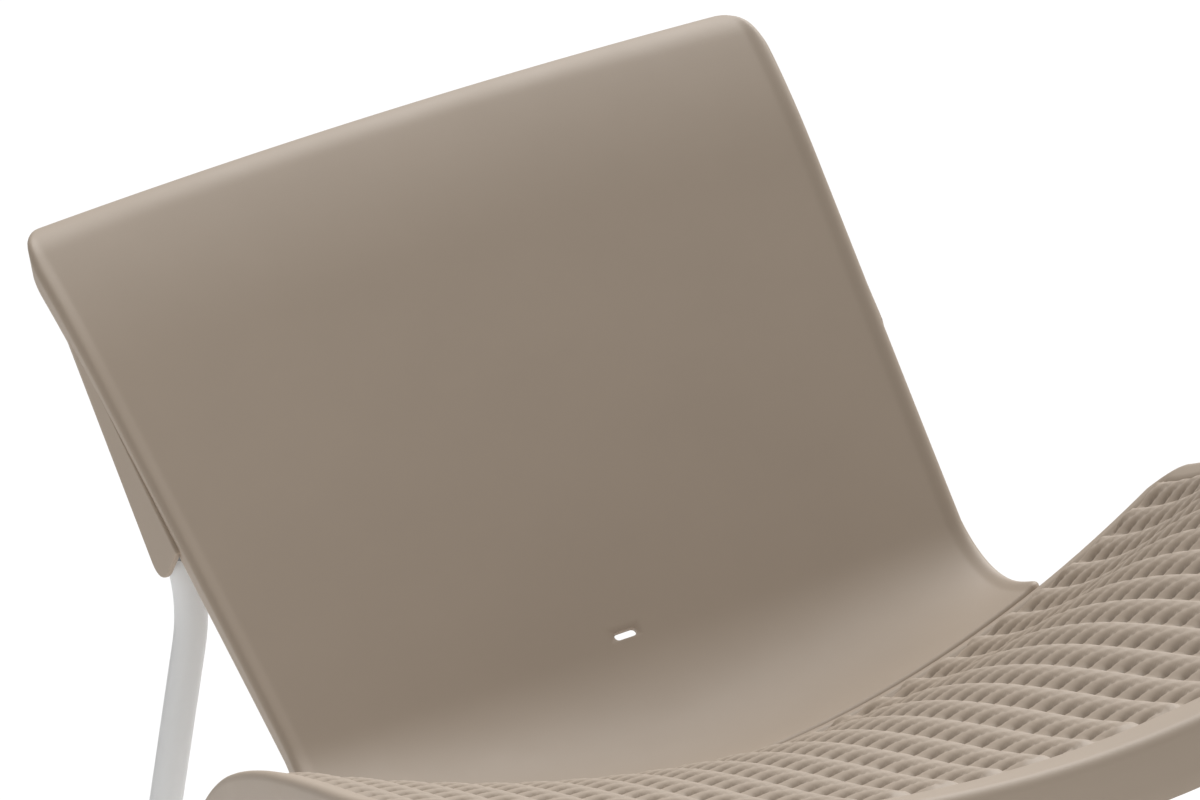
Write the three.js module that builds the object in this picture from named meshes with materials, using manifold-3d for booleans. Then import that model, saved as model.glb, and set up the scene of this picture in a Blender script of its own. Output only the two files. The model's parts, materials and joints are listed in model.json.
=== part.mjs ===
// Reclining sun lounger: a moulded seat and a moulded backrest on a tube underframe.
// Millimetres, +Z up, head end towards +Y, foot end towards -Y, symmetric about X = 0.
import * as THREE from "three";
import { mergeVertices } from "three/addons/utils/BufferGeometryUtils.js";
import Module from "manifold-3d";

const wasm = await Module();
wasm.setup();

// ---- Driving dimensions ---------------------------------------------------------------

const HIP_HEIGHT = 300; // seat surface above the ground, on the centre line at the hip
const BACK_ANGLE = 58; // slope of the raised backrest, degrees from level
const HIP_SLOPE = -2; // slope of both mouldings where they meet, degrees
const HIP_GAP = 8; // between the seat's rear edge and the backrest's lip

const SEAT_WIDTH = 762; // across the seat's side edges
const SEAT_RIM = { length: 200, turn: 4.5 }; // stretches from the foot rim to the hip
const SEAT_CALF = { length: 150, turn: -1.5 };
const SEAT_KNEE = { length: 150, turn: -5 };
const SEAT_THIGH = { length: 120, turn: -8 };
const SEAT_HIP = { length: 238, turn: 14.3 };
const SEAT_DISH = 100; // how far the side edges stand above the centre line
const SEAT_DISH_POWER = 1.95; // how late the dish rises towards the edge
const SEAT_SKIRT = 36; // depth of the edge all round
const SEAT_CORNER = 45; // plan radius of the corners

const BACK_WIDTH = 528; // across the backrest at the bottom of the panel
const BACK_TAPER = 0.0726; // gain in half width per length up the panel
const BACK_PANEL_LENGTH = 451; // straight stretch of the backrest
const BACK_LIP_RADIUS = 170; // forward curl at the hip
const BACK_ROLL_RADIUS = 46; // backward roll along the top
const BACK_ROLL_TURN = 115; // degrees
const BACK_DISH = 12; // how far the panel's side edges stand ahead of its centre line
const BACK_LIP_DISH = 49; // the same at the front of the lip
const BACK_CROWN = 22; // how far the top stands higher in the middle than at its corners
const BACK_SKIRT = 22; // depth of the edge all round
const BACK_CORNER = 45; // plan radius of the top corners
const HIP_SKIRT = 12; // depth of both mouldings' edges where they meet

const SHELL = 5; // wall of both mouldings
const EDGE_WALL = 6; // thickness of the edge skirts
const EDGE_ROUND = 8; // radius along the top of the edges

const SLOT_LENGTH = 17; // drain slot in the backrest
const SLOT_WIDTH = 7;
const SLOT_HEIGHT = 5; // slot's distance up the panel

const TUBE = 28; // outside diameter of rails and legs
const SLIM_TUBE = 25; // outside diameter of the cross tubes and the rear legs
const TUBE_WALL = 2;
const FIT = 0.3; // clearance between pieces that touch
const RUN = 1; // clearance beside a turning piece

const RAIL_SPREAD = 208; // rail centre line from the middle of the seat
const RAIL_FOOT_MARGIN = 45; // rail end from the foot rim
const RAIL_HIP_MARGIN = 62; // rail end from the seat's rear edge
const FRONT_LEG_STATION = 150; // along the seat, from the foot rim
const HIP_LEG_MARGIN = 158; // hip leg from the seat's rear edge
const BOLT_MARGIN = 34; // hinge bracket's bolt from the rail's hip end
const LEG_SPLAY = 7; // degrees, away from the middle of the lounger
const BOSS_LENGTH = 44; // moulded saddles that sit on the rails
const BOSS_WIDTH = 24;
const BOSS_HEIGHT = 12; // shell to rail
const BOSS_SHARES = { foot: 0.04, knee: 0.45, hip: 0.77 }; // of the rail's length
const SCREW = 5; // shank diameter
const SCREW_HEAD = 11;
const SCREW_HEAD_HEIGHT = 3;
const SCREW_BITE = 8; // depth of the screw in its boss

const CLAMP_WALL = 4; // leg clamps
const CLAMP_LENGTH = 46;
const CLAMP_SOCKET = 52; // depth of a leg socket below the rail's centre
const CROSS_DROP = 95; // cross tube below the rail's centre
const CAP_WALL = 3; // foot caps
const CAP_FLOOR = 8; // solid sole of a foot cap
const CAP_HEIGHT = 30;
const PLUG_DEPTH = 12; // rail end plugs
const PLUG_HEAD = 3;
const PLUG_SLACK = 1; // around a plug's stem

const AXIS_DROP = 32; // hip hinge axis below the seat's surface
const PLATE = 4; // hinge plates
const BRACKET_RADIUS = 16;
const WASHER = 1.5;
const WASHER_WIDTH = 22;
const PIN = 8; // hinge and pivot pins
const PIN_HEAD = 15;
const PIN_HEAD_HEIGHT = 3;
const PIN_COLLAR = 13; // riveted end of a hinge pin
const ARM_WIDTH = 26; // hinge arm, seen from the side
const ARM_REACH = 150; // up the panel
const FLANGE = 26; // width of the arm's flange
const FLANGE_PLATE = 3;
const FLANGE_MARGIN = 14; // flange's ends from the panel's foot and the arm's end
const FLANGE_SCREWS = { low: 36, high: 116 }; // up the panel

const CHEEK_TOP = 400; // upper end of the leg cheek, up the panel
const CHEEK_LOW = 178; // lower end
const CHEEK_DEPTH = 60; // at its lower end, from the edge plane
const CHEEK_SET_BACK = 12; // cheek's front face behind the edge plane
const CHEEK_ROUND = 20; // its lower rear corner
const CHEEK_WALL = 5;
const CHEEK_FLARE = 10; // how far the lower end stands outboard of the panel
const PIVOT_HEIGHT = 205; // rear leg pivot, up the panel
const PIVOT_DEPTH = 38; // behind the edge plane
const PIVOT_BITE = 3; // depth of the pivot pin in the cheek's outer wall
const REAR_LEG_TILT = 31; // degrees from upright, with the backrest raised
const REAR_LEG_SPLAY = 17; // degrees, outwards
const BUSH_REACH = 15; // pivot to the start of the rear leg's tube
const BUSH_STEM = 18; // stem inside the tube
const BEND_START = 42; // rear leg's bend outwards, from the pivot
const BEND_LENGTH = 60;
const REAR_BAR_HEIGHT = 90; // rear cross bar above the ground

// ---- Materials ------------------------------------------------------------------------

const finish = (color, roughness, metalness) =>
  new THREE.MeshStandardMaterial({ color, roughness, metalness });
const mouldedPlastic = () => finish(0x9a8c7d, 0.6, 0);
const paleTube = () => finish(0xe4e4e4, 0.4, 0.2);
const greyPlastic = () => finish(0x8b8d8f, 0.7, 0);
const steel = () => finish(0xb8babc, 0.35, 0.9);

// ---- Solids ---------------------------------------------------------------------------

const radians = THREE.MathUtils.degToRad;
const point = (x, y, z) => new THREE.Vector3(x, y, z);
const stepped = (from, direction, distance) => from.clone().addScaledVector(direction, distance);
const UP = point(0, 1, 0); // axis of a new cylinder

function solid(geometry) {
  const bare = geometry.clone();
  bare.deleteAttribute("normal");
  bare.deleteAttribute("uv");
  const merged = mergeVertices(bare, 1e-3);
  return new wasm.Manifold(
    new wasm.Mesh({
      numProp: 3,
      vertProperties: merged.attributes.position.array,
      triVerts: new Uint32Array(merged.index.array),
    }),
  );
}

function geometryOf(made) {
  const mesh = made.getMesh();
  const geometry = new THREE.BufferGeometry();
  geometry.setAttribute("position", new THREE.BufferAttribute(mesh.vertProperties, 3));
  geometry.setIndex(new THREE.BufferAttribute(mesh.triVerts, 1));
  return geometry;
}

const joined = (first, ...others) =>
  geometryOf(others.reduce((whole, next) => whole.add(solid(next)), solid(first)));

const cutBy = (first, ...tools) =>
  geometryOf(tools.reduce((rest, tool) => rest.subtract(solid(tool)), solid(first)));

// A solid round bar between two points.
function rod(from, to, diameter, sides = 16) {
  const bar = new THREE.CylinderGeometry(diameter / 2, diameter / 2, from.distanceTo(to), sides);
  const along = to.clone().sub(from).normalize();
  const turn = new THREE.Quaternion().setFromUnitVectors(UP, along);
  const middle = from.clone().lerp(to, 0.5);
  return bar.applyQuaternion(turn).translate(middle.x, middle.y, middle.z);
}

// A rod along X, given its two distances from the middle on the given side.
const axle = (sign, inner, outer, diameter, { y, z }, sides = 12) =>
  rod(point(sign * inner, y, z), point(sign * outer, y, z), diameter, sides);

// A twelve-sided section along a curve: a bar, or a tube when it has a wall.
function sweep(curve, diameter, steps, wall = 0) {
  const section = new THREE.Shape();
  section.absarc(0, 0, diameter / 2, 0, 2 * Math.PI);
  if (wall > 0) {
    const bore = new THREE.Path();
    bore.absarc(0, 0, diameter / 2 - wall, 0, 2 * Math.PI, true);
    section.holes.push(bore);
  }
  return new THREE.ExtrudeGeometry(section, {
    extrudePath: curve,
    steps,
    curveSegments: 6,
    bevelEnabled: false,
  });
}

const straightTube = (from, to, diameter) =>
  sweep(new THREE.LineCurve3(from, to), diameter, 1, TUBE_WALL);

// Extrudes an outline drawn in Y and Z along X, away from the middle on the given side.
function upright(shape, sign, inner, thickness, curveSegments = 8) {
  const plate = new THREE.ExtrudeGeometry(shape, {
    depth: thickness,
    bevelEnabled: false,
    curveSegments,
  });
  const axes = new THREE.Matrix4().makeBasis(UP, point(0, 0, 1), point(1, 0, 0));
  const start = sign > 0 ? inner : -inner - thickness;
  return plate.applyMatrix4(axes).translate(start, 0, 0);
}

// A flat plate with round ends, from one axis to another.
function link(from, to, radius, sign, inner, thickness) {
  const slope = Math.atan2(to.z - from.z, to.y - from.y);
  const shape = new THREE.Shape();
  shape.absarc(from.y, from.z, radius, slope + Math.PI / 2, slope + 1.5 * Math.PI);
  shape.absarc(to.y, to.z, radius, slope - Math.PI / 2, slope + Math.PI / 2);
  return upright(shape, sign, inner, thickness);
}

// ---- Side profiles --------------------------------------------------------------------

// A chain of arcs in the YZ plane, each with a length and a turn in degrees.
class Profile {
  constructor(slope, pieces) {
    this.start = { y: 0, z: 0, slope: radians(slope) };
    this.pieces = pieces.map(({ length, turn }) => ({ length, turn: radians(turn) }));
    this.length = this.pieces.reduce((sum, piece) => sum + piece.length, 0);
  }

  // Moves the chain so that the point at a distance along it lies at y, z.
  anchored(distance, y, z) {
    const here = this.at(distance);
    this.start.y += y - here.y;
    this.start.z += z - here.z;
    return this;
  }

  // Point and slope at a distance along the chain.
  at(distance) {
    let { y, z, slope } = this.start;
    let left = THREE.MathUtils.clamp(distance, 0, this.length);
    for (const { length, turn } of this.pieces) {
      const run = Math.min(left, length);
      const bend = (turn * run) / length;
      const chord = Math.abs(bend) < 1e-9 ? run : (2 * run * Math.sin(bend / 2)) / bend;
      y += chord * Math.cos(slope + bend / 2);
      z += chord * Math.sin(slope + bend / 2);
      slope += bend;
      left -= run;
      if (left <= 0) break;
    }
    return { y, z, slope };
  }

  // A point off the chain: x to the side, rise along the upward normal.
  off(distance, x, rise) {
    const { y, z, slope } = this.at(distance);
    return point(x, y - rise * Math.sin(slope), z + rise * Math.cos(slope));
  }
}

const seatPieces = [SEAT_RIM, SEAT_CALF, SEAT_KNEE, SEAT_THIGH, SEAT_HIP];
const seatTurn = seatPieces.reduce((sum, { turn }) => sum + turn, 0);
const seatProfile = new Profile(HIP_SLOPE - seatTurn, seatPieces);
seatProfile.anchored(seatProfile.length, -HIP_GAP / 2, HIP_HEIGHT);

const lipTurn = BACK_ANGLE - HIP_SLOPE;
const lipLength = BACK_LIP_RADIUS * radians(lipTurn);
const backProfile = new Profile(HIP_SLOPE, [
  { length: lipLength, turn: lipTurn },
  { length: BACK_PANEL_LENGTH, turn: 0 },
  { length: BACK_ROLL_RADIUS * radians(BACK_ROLL_TURN), turn: -BACK_ROLL_TURN },
]);
backProfile.anchored(0, HIP_GAP / 2, HIP_HEIGHT);

// ---- Moulded shells -------------------------------------------------------------------

const smooth = (t) => THREE.MathUtils.smoothstep(t, 0, 1);
const mix = THREE.MathUtils.lerp;

// Rise of the seat's surface above its centre line.
const seatDish = (x) => SEAT_DISH * (Math.abs(x) / (SEAT_WIDTH / 2)) ** SEAT_DISH_POWER;
const seatSkirt = (s) => mix(HIP_SKIRT, SEAT_SKIRT, smooth((seatProfile.length - s) / 160));

const backHalfWidth = (s) => BACK_WIDTH / 2 + BACK_TAPER * Math.max(s - lipLength, 0);
const backSkirt = (s) => mix(HIP_SKIRT, BACK_SKIRT, smooth(s / lipLength));

// Rise of the backrest's surface ahead of its centre line.
function backDish(x, s) {
  const share = smooth(s / lipLength);
  const depth = mix(BACK_LIP_DISH, BACK_DISH, share);
  return depth * (Math.abs(x) / backHalfWidth(s)) ** mix(SEAT_DISH_POWER, 2, share);
}

// The top edge falls away from the middle to its corners, along the panel.
function backCrown(x, s) {
  const share = smooth((s - lipLength) / BACK_PANEL_LENGTH);
  const fall = BACK_CROWN * share * (x / backHalfWidth(s)) ** 2;
  return point(0, -fall * Math.cos(radians(BACK_ANGLE)), -fall * Math.sin(radians(BACK_ANGLE)));
}

// Half width near an end, where the corners are rounded.
const cornered = (half, radius, fromEnd) =>
  fromEnd >= radius ? half : half - radius + Math.sqrt(radius ** 2 - (radius - fromEnd) ** 2);

// Distances in from an edge: round the edge, past the skirt's wall, then round a corner.
function edgeStations(cornerRadius = 0) {
  const quarters = [0, 0.33, 0.67, 1].map((share) => 1 - Math.cos((share * Math.PI) / 2));
  const stations = [
    ...quarters.map((share) => EDGE_ROUND * share),
    EDGE_WALL,
    EDGE_WALL + 0.6,
    ...quarters.map((share) => cornerRadius * share),
  ];
  return stations.sort((a, b) => a - b).filter((d, i, all) => i === 0 || d - all[i - 1] > 0.25);
}

// Stations across a length: both edges' and an even field between them.
function stationsAlong(length, edge, step) {
  const inner = edge[edge.length - 1];
  const count = Math.round((length - 2 * inner) / step);
  const field = Array.from(
    { length: count - 1 },
    (_, i) => inner + ((i + 1) * (length - 2 * inner)) / count,
  );
  return [...edge, ...field, ...edge.map((d) => length - d).reverse()];
}

// How far the top surface falls away close to an edge.
const edgeDrop = (d) =>
  d >= EDGE_ROUND ? 0 : EDGE_ROUND - Math.sqrt(EDGE_ROUND ** 2 - (EDGE_ROUND - d) ** 2);

// A dished sheet along a profile, with a skirt round its edge.
function shell({ profile, width, across, along, halfWidth, dish, skirt, slide }) {
  const box = new THREE.BoxGeometry(1, 1, 1, across.length - 1, along.length - 1, 1);
  const position = box.attributes.position;
  const band = 2 * EDGE_ROUND; // strip along the side edges that keeps its width
  for (let i = 0; i < position.count; i++) {
    const flat = across[Math.round((position.getX(i) + 0.5) * (across.length - 1))] - width / 2;
    const s = along[Math.round((position.getY(i) + 0.5) * (along.length - 1))];
    const half = halfWidth(s);
    const fromSide = width / 2 - Math.abs(flat);
    const x =
      fromSide < band
        ? Math.sign(flat) * (half - fromSide)
        : (flat * (half - band)) / (width / 2 - band);
    const fromEdge = Math.min(fromSide, s, profile.length - s);
    const wall = fromEdge <= EDGE_WALL + 0.01 ? skirt(s) : SHELL;
    const top = position.getZ(i) > 0;
    const rise = dish(x, s) - (top ? edgeDrop(fromEdge) : wall);
    const at = profile.off(s, x, rise).add(slide(x, s));
    position.setXYZ(i, at.x, at.y, at.z);
  }
  return box;
}

const seatSheet = shell({
  profile: seatProfile,
  width: SEAT_WIDTH,
  across: stationsAlong(SEAT_WIDTH, edgeStations(), 62),
  along: stationsAlong(seatProfile.length, edgeStations(SEAT_CORNER), 62),
  halfWidth: (s) => cornered(SEAT_WIDTH / 2, SEAT_CORNER, Math.min(s, seatProfile.length - s)),
  dish: seatDish,
  skirt: seatSkirt,
  slide: () => point(0, 0, 0),
});

// Fine stations round the lip and the roll, wide ones up the panel.
function backStations() {
  const lip = edgeStations();
  const roll = edgeStations(BACK_CORNER).map((d) => backProfile.length - d).reverse();
  const panelTop = lipLength + BACK_PANEL_LENGTH;
  const spread = (from, to, count) =>
    Array.from({ length: count }, (_, i) => from + ((to - from) * (i + 1)) / count);
  return [
    ...lip,
    ...spread(lip[lip.length - 1], lipLength, 6),
    ...spread(lipLength, panelTop, 5),
    ...spread(panelTop, roll[0], 4).slice(0, -1),
    ...roll,
  ];
}

const backSheet = shell({
  profile: backProfile,
  width: BACK_WIDTH,
  across: stationsAlong(BACK_WIDTH, edgeStations(), 64),
  along: backStations(),
  halfWidth: (s) => cornered(backHalfWidth(s), BACK_CORNER, backProfile.length - s),
  dish: backDish,
  skirt: backSkirt,
  slide: backCrown,
});

// ---- Assembly -------------------------------------------------------------------------

const lounger = new THREE.Group();

function add(name, geometry, material) {
  const mesh = new THREE.Mesh(geometry, material);
  mesh.name = name;
  lounger.add(mesh);
}

const SIDES = { left: -1, right: 1 };
const RAIL_STEPS = 12; // straight lengths along a bent tube
const REAR_LEG_STEPS = 14;

// ---- Rails, and what is screwed to them -----------------------------------------------

const railDrop = SHELL + BOSS_HEIGHT + TUBE / 2;
const railEnd = seatProfile.length - RAIL_HIP_MARGIN;

// Curve of a rail's centre line, under the seat.
class RailCurve extends THREE.Curve {
  constructor(sign) {
    super();
    this.sign = sign;
  }

  getPoint(t, target = new THREE.Vector3()) {
    return target.copy(railPoint(this.sign, mix(RAIL_FOOT_MARGIN, railEnd, t)));
  }
}

function railPoint(sign, s) {
  return seatProfile.off(s, sign * RAIL_SPREAD, seatDish(RAIL_SPREAD) - railDrop);
}

const railRoom = (sign) => sweep(new RailCurve(sign), TUBE + 2 * FIT, RAIL_STEPS);

// Centre, direction towards the head end, and upward direction of a rail at a station.
function railFrame(sign, s) {
  const centre = railPoint(sign, s);
  const heading = railPoint(sign, s + 5).sub(railPoint(sign, s - 5)).normalize();
  const rightwards = point(1, 0, 0);
  const up = rightwards.clone().cross(heading);
  return { centre, heading, up, rightwards, along: (height) => stepped(centre, up, height) };
}

const bossStations = Object.entries(BOSS_SHARES).map(([place, share]) => ({
  place,
  s: mix(RAIL_FOOT_MARGIN, railEnd, share),
}));

function addRail(side, sign) {
  const screwHoles = bossStations.map(({ s }) => {
    const { along } = railFrame(sign, s);
    return rod(along(-TUBE), along(TUBE), SCREW + 2 * FIT, 10);
  });
  const tube = sweep(new RailCurve(sign), TUBE, RAIL_STEPS, TUBE_WALL);
  const boltHole = axle(sign, 0, 2 * RAIL_SPREAD, PIN + 2 * FIT, boltPoint(sign));
  add(`rail_${side}`, cutBy(tube, ...screwHoles, boltHole), paleTube());

  for (const [end, s, way] of [
    ["foot", RAIL_FOOT_MARGIN, -1],
    ["hip", railEnd, 1],
  ]) {
    const { centre, heading } = railFrame(sign, s);
    const out = heading.multiplyScalar(way);
    const face = stepped(centre, out, FIT);
    const head = rod(face, stepped(face, out, PLUG_HEAD), TUBE);
    const bore = TUBE - 2 * TUBE_WALL;
    const stem = rod(stepped(face, out, -PLUG_DEPTH), stepped(face, out, 1), bore - 2 * PLUG_SLACK);
    add(`rail_plug_${end}_${side}`, joined(head, stem), greyPlastic());
  }

  for (const { place, s } of bossStations) {
    const { along } = railFrame(sign, s);
    const seated = -TUBE / 2 - FIT;
    const shank = rod(along(seated - 1), along(TUBE / 2 + SCREW_BITE), SCREW, 10);
    const head = rod(along(seated - SCREW_HEAD_HEIGHT), along(seated), SCREW_HEAD, 12);
    add(`seat_screw_${place}_${side}`, joined(shank, head), steel());
  }
}

// ---- Seat -----------------------------------------------------------------------------

function addSeat() {
  const saddles = [];
  const tools = [];
  const top = TUBE / 2 + BOSS_HEIGHT + SHELL / 2;
  const bottom = TUBE / 4;
  for (const sign of Object.values(SIDES)) {
    for (const { s } of bossStations) {
      const { rightwards, heading, up, along } = railFrame(sign, s);
      const frame = new THREE.Matrix4().makeBasis(rightwards, heading, up);
      const middle = along((top + bottom) / 2);
      const saddle = new THREE.BoxGeometry(BOSS_WIDTH, BOSS_LENGTH, top - bottom);
      saddles.push(saddle.applyMatrix4(frame).translate(middle.x, middle.y, middle.z));
      const depth = TUBE / 2 + SCREW_BITE + 1;
      tools.push(rod(along(0), along(depth), SCREW + 2 * FIT, 10));
    }
    tools.push(railRoom(sign));
  }
  add("seat_shell", cutBy(joined(seatSheet, ...saddles), ...tools), mouldedPlastic());
}

// ---- Front and hip legs ---------------------------------------------------------------

// Where a leg leaves its rail, and where it meets the ground.
function legLine(sign, place) {
  const s = place === "front" ? FRONT_LEG_STATION : seatProfile.length - HIP_LEG_MARGIN;
  const top = railPoint(sign, s);
  const lean = Math.tan(radians(LEG_SPLAY));
  const down = point(sign * lean, place === "front" ? -lean : 0, -1).normalize();
  return { s, top, down, foot: stepped(top, down, -top.z / down.z) };
}

// A cup that closes a leg's lower end, cut level with the ground.
function footCap(foot, up, tube) {
  const outer = tube + 2 * CAP_WALL;
  const ground = new THREE.BoxGeometry(4000, 4000, 200).translate(0, 0, -100);
  const bore = rod(stepped(foot, up, CAP_FLOOR), stepped(foot, up, 2 * CAP_HEIGHT), tube + 2 * FIT);
  return cutBy(rod(stepped(foot, up, -outer), stepped(foot, up, CAP_HEIGHT), outer), bore, ground);
}

const tubeFoot = (foot, up) => stepped(foot, up, CAP_FLOOR + FIT);

function addLeg(side, sign, place) {
  const { s, top, down, foot } = legLine(sign, place);
  const up = down.clone().negate();
  const start = TUBE / 2 + CLAMP_WALL;
  const leg = straightTube(stepped(top, down, start), tubeFoot(foot, up), TUBE);
  add(`${place}_leg_${side}`, leg, paleTube());
  add(`foot_cap_${place}_${side}`, footCap(foot, up, TUBE), greyPlastic());

  const { heading } = railFrame(sign, s);
  const outer = TUBE + 2 * CLAMP_WALL;
  const half = CLAMP_LENGTH / 2;
  const collar = rod(stepped(top, heading, -half), stepped(top, heading, half), outer);
  const socket = rod(top, stepped(top, down, CLAMP_SOCKET), outer);
  const legRoom = rod(
    stepped(top, down, start - FIT),
    stepped(top, down, 2 * CLAMP_SOCKET),
    TUBE + 2 * FIT,
  );
  const clamp = cutBy(joined(collar, socket), railRoom(sign), legRoom);
  add(`leg_clamp_${place}_${side}`, clamp, greyPlastic());
}

// A tube between a pair of legs, coped to fit against them.
function addCrossTube(place) {
  const [left, right] = Object.values(SIDES).map((sign) => legLine(sign, place));
  const [from, to] = [left, right].map(({ top, down }) => stepped(top, down, CROSS_DROP));
  const copes = [left, right].map(({ top, foot }) => rod(top, foot, TUBE + 2 * FIT));
  add(`cross_tube_${place}`, cutBy(straightTube(from, to, SLIM_TUBE), ...copes), paleTube());
}

// ---- Hip hinge ------------------------------------------------------------------------

const hinge = { y: 0, z: HIP_HEIGHT - AXIS_DROP };

function boltPoint(sign) {
  return railPoint(sign, railEnd - BOLT_MARGIN);
}

// Inboard of the rail, in turn: bracket, washer, hinge arm.
const bracketOuter = RAIL_SPREAD - TUBE / 2 - FIT;
const bracketInner = bracketOuter - PLATE;
const washerOuter = bracketInner - FIT;
const washerInner = washerOuter - WASHER;
const armOuter = washerInner - FIT;
const armInner = armOuter - PLATE;

function addHinge(side, sign) {
  const bolt = boltPoint(sign);
  const pinHole = axle(sign, 0, RAIL_SPREAD, PIN + 2 * FIT, hinge);
  const boltHole = axle(sign, 0, RAIL_SPREAD, PIN + 2 * FIT, bolt);
  const plate = link(bolt, hinge, BRACKET_RADIUS, sign, bracketInner, PLATE);
  add(`hinge_bracket_${side}`, cutBy(plate, pinHole, boltHole), steel());

  const headFace = bracketInner - FIT;
  const nutFace = RAIL_SPREAD + TUBE / 2 + FIT;
  const fastener = joined(
    axle(sign, headFace - PIN_HEAD_HEIGHT, headFace, PIN_HEAD, bolt, 6),
    axle(sign, headFace - 1, nutFace + PIN_HEAD_HEIGHT + 2, PIN, bolt),
    axle(sign, nutFace, nutFace + PIN_HEAD_HEIGHT, PIN_HEAD, bolt, 6),
  );
  add(`bracket_bolt_${side}`, fastener, steel());

  const washer = axle(sign, washerInner, washerOuter, WASHER_WIDTH, hinge, 16);
  add(`hinge_washer_${side}`, cutBy(washer, pinHole), greyPlastic());

  const pinFace = armInner - FIT;
  const collarFace = bracketOuter + FIT;
  const pin = joined(
    axle(sign, pinFace - PIN_HEAD_HEIGHT, pinFace, PIN_HEAD, hinge),
    axle(sign, pinFace - 1, collarFace + 1, PIN, hinge),
    axle(sign, collarFace, collarFace + PIN_HEAD_HEIGHT, PIN_COLLAR, hinge),
  );
  add(`hinge_pin_${side}`, pin, steel());
}

// ---- Backrest: drawn in the panel's own plane, X across, Y up it, Z out of its face ----

const panelFoot = backProfile.at(lipLength);
const raise = new THREE.Matrix4()
  .makeRotationX(radians(BACK_ANGLE))
  .setPosition(0, panelFoot.y, panelFoot.z);
const raised = (geometry) => geometry.applyMatrix4(raise);
const onPanel = (x, up, out) => point(x, up, out).applyMatrix4(raise);

// The hinge axis seen in that plane, and the arm's bend around the lip's own centre.
const axisOnPanel = point(0, hinge.y, hinge.z).applyMatrix4(raise.clone().invert());
const armTurn = Math.atan2(axisOnPanel.z - BACK_LIP_RADIUS, axisOnPanel.y) + 2 * Math.PI;
const armRadius = Math.hypot(axisOnPanel.z - BACK_LIP_RADIUS, axisOnPanel.y);
const armFace = BACK_LIP_RADIUS - armRadius + ARM_WIDTH / 2;
const padX = armInner - FLANGE / 2;

// A curved plate from the hinge axis round the lip and up behind the panel.
function armOutline() {
  const shape = new THREE.Shape();
  const inner = armRadius - ARM_WIDTH / 2;
  const outer = armRadius + ARM_WIDTH / 2;
  const end = ARM_REACH - ARM_WIDTH / 2;
  shape.absarc(0, BACK_LIP_RADIUS, inner, armTurn, 1.5 * Math.PI);
  shape.absarc(end, armFace - ARM_WIDTH / 2, ARM_WIDTH / 2, Math.PI / 2, -Math.PI / 2, true);
  shape.absarc(0, BACK_LIP_RADIUS, outer, 1.5 * Math.PI, armTurn, true);
  shape.absarc(axisOnPanel.y, axisOnPanel.z, ARM_WIDTH / 2, armTurn, armTurn + Math.PI, true);
  return shape;
}

const flangeFrom = FLANGE_MARGIN;
const flangeLength = ARM_REACH - 2 * FLANGE_MARGIN - flangeFrom;

// A block on the panel's own axes, between two distances out of its face.
function panelBlock(x, width, from, length, low, high) {
  const block = new THREE.BoxGeometry(width, length, high - low);
  return raised(block.translate(x, from + length / 2, (low + high) / 2));
}

const flangeRod = (sign, up, low, high, diameter) =>
  rod(onPanel(sign * padX, up, low), onPanel(sign * padX, up, high), diameter, 10);

function addHingeArm(side, sign) {
  const web = raised(upright(armOutline(), sign, armInner, PLATE, 10));
  const width = FLANGE + PLATE;
  const middle = sign * (armOuter - width / 2);
  const plate = [armFace - FLANGE_PLATE, armFace];
  const flange = panelBlock(middle, width, flangeFrom, flangeLength, ...plate);
  const holes = Object.values(FLANGE_SCREWS).map((up) =>
    flangeRod(sign, up, armFace - TUBE, armFace + TUBE, SCREW + 2 * FIT),
  );
  const pinHole = axle(sign, 0, RAIL_SPREAD, PIN + 2 * FIT, hinge);
  add(`hinge_arm_${side}`, cutBy(joined(web, flange), ...holes, pinHole), steel());

  for (const [place, up] of Object.entries(FLANGE_SCREWS)) {
    const seated = armFace - FLANGE_PLATE - FIT;
    const head = flangeRod(sign, up, seated - SCREW_HEAD_HEIGHT, seated, SCREW_HEAD);
    const shank = flangeRod(sign, up, seated - 1, armFace + SCREW_BITE, SCREW);
    add(`arm_screw_${place}_${side}`, joined(head, shank), steel());
  }
}

// ---- Cheeks that carry the rear legs --------------------------------------------------

const groove = SLIM_TUBE + 2 * RUN;
const cheekWidth = groove + 2 * CHEEK_WALL;
const pivotOut = BACK_DISH - PIVOT_DEPTH;

// The cheek's outer face, up the panel: it follows the taper and flares towards its foot.
function cheekFace(up) {
  const flare = (CHEEK_FLARE * (CHEEK_TOP - up)) / (CHEEK_TOP - CHEEK_LOW);
  return BACK_WIDTH / 2 + BACK_TAPER * up + flare;
}

// An outline on the panel's side, extruded inwards from a depth below the cheek's face.
function cheekSlab(outline, sign, depth, width) {
  const slab = upright(outline, sign, -depth - width, width, 5);
  const position = slab.attributes.position;
  for (let i = 0; i < position.count; i++) {
    position.setX(i, position.getX(i) + sign * cheekFace(position.getY(i)));
  }
  return raised(slab);
}

function cheekOutline() {
  const front = BACK_DISH - CHEEK_SET_BACK;
  const back = BACK_DISH - CHEEK_DEPTH;
  const shape = new THREE.Shape();
  shape.moveTo(CHEEK_TOP, front);
  shape.lineTo(CHEEK_LOW, front);
  shape.absarc(
    CHEEK_LOW + CHEEK_ROUND,
    back + CHEEK_ROUND,
    CHEEK_ROUND,
    Math.PI,
    1.5 * Math.PI,
  );
  shape.lineTo(CHEEK_TOP, BACK_DISH - BACK_SKIRT);
  return shape;
}

// Room for the leg: open at the cheek's rear and at its foot.
function grooveOutline() {
  const front = pivotOut + SLIM_TUBE / 2 + RUN;
  const shape = new THREE.Shape();
  shape.moveTo(CHEEK_TOP, front);
  shape.lineTo(CHEEK_LOW - CHEEK_DEPTH, front);
  shape.lineTo(CHEEK_LOW - CHEEK_DEPTH, front - 2 * CHEEK_DEPTH);
  shape.lineTo(CHEEK_TOP, front - 2 * CHEEK_DEPTH);
  return shape;
}

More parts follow.
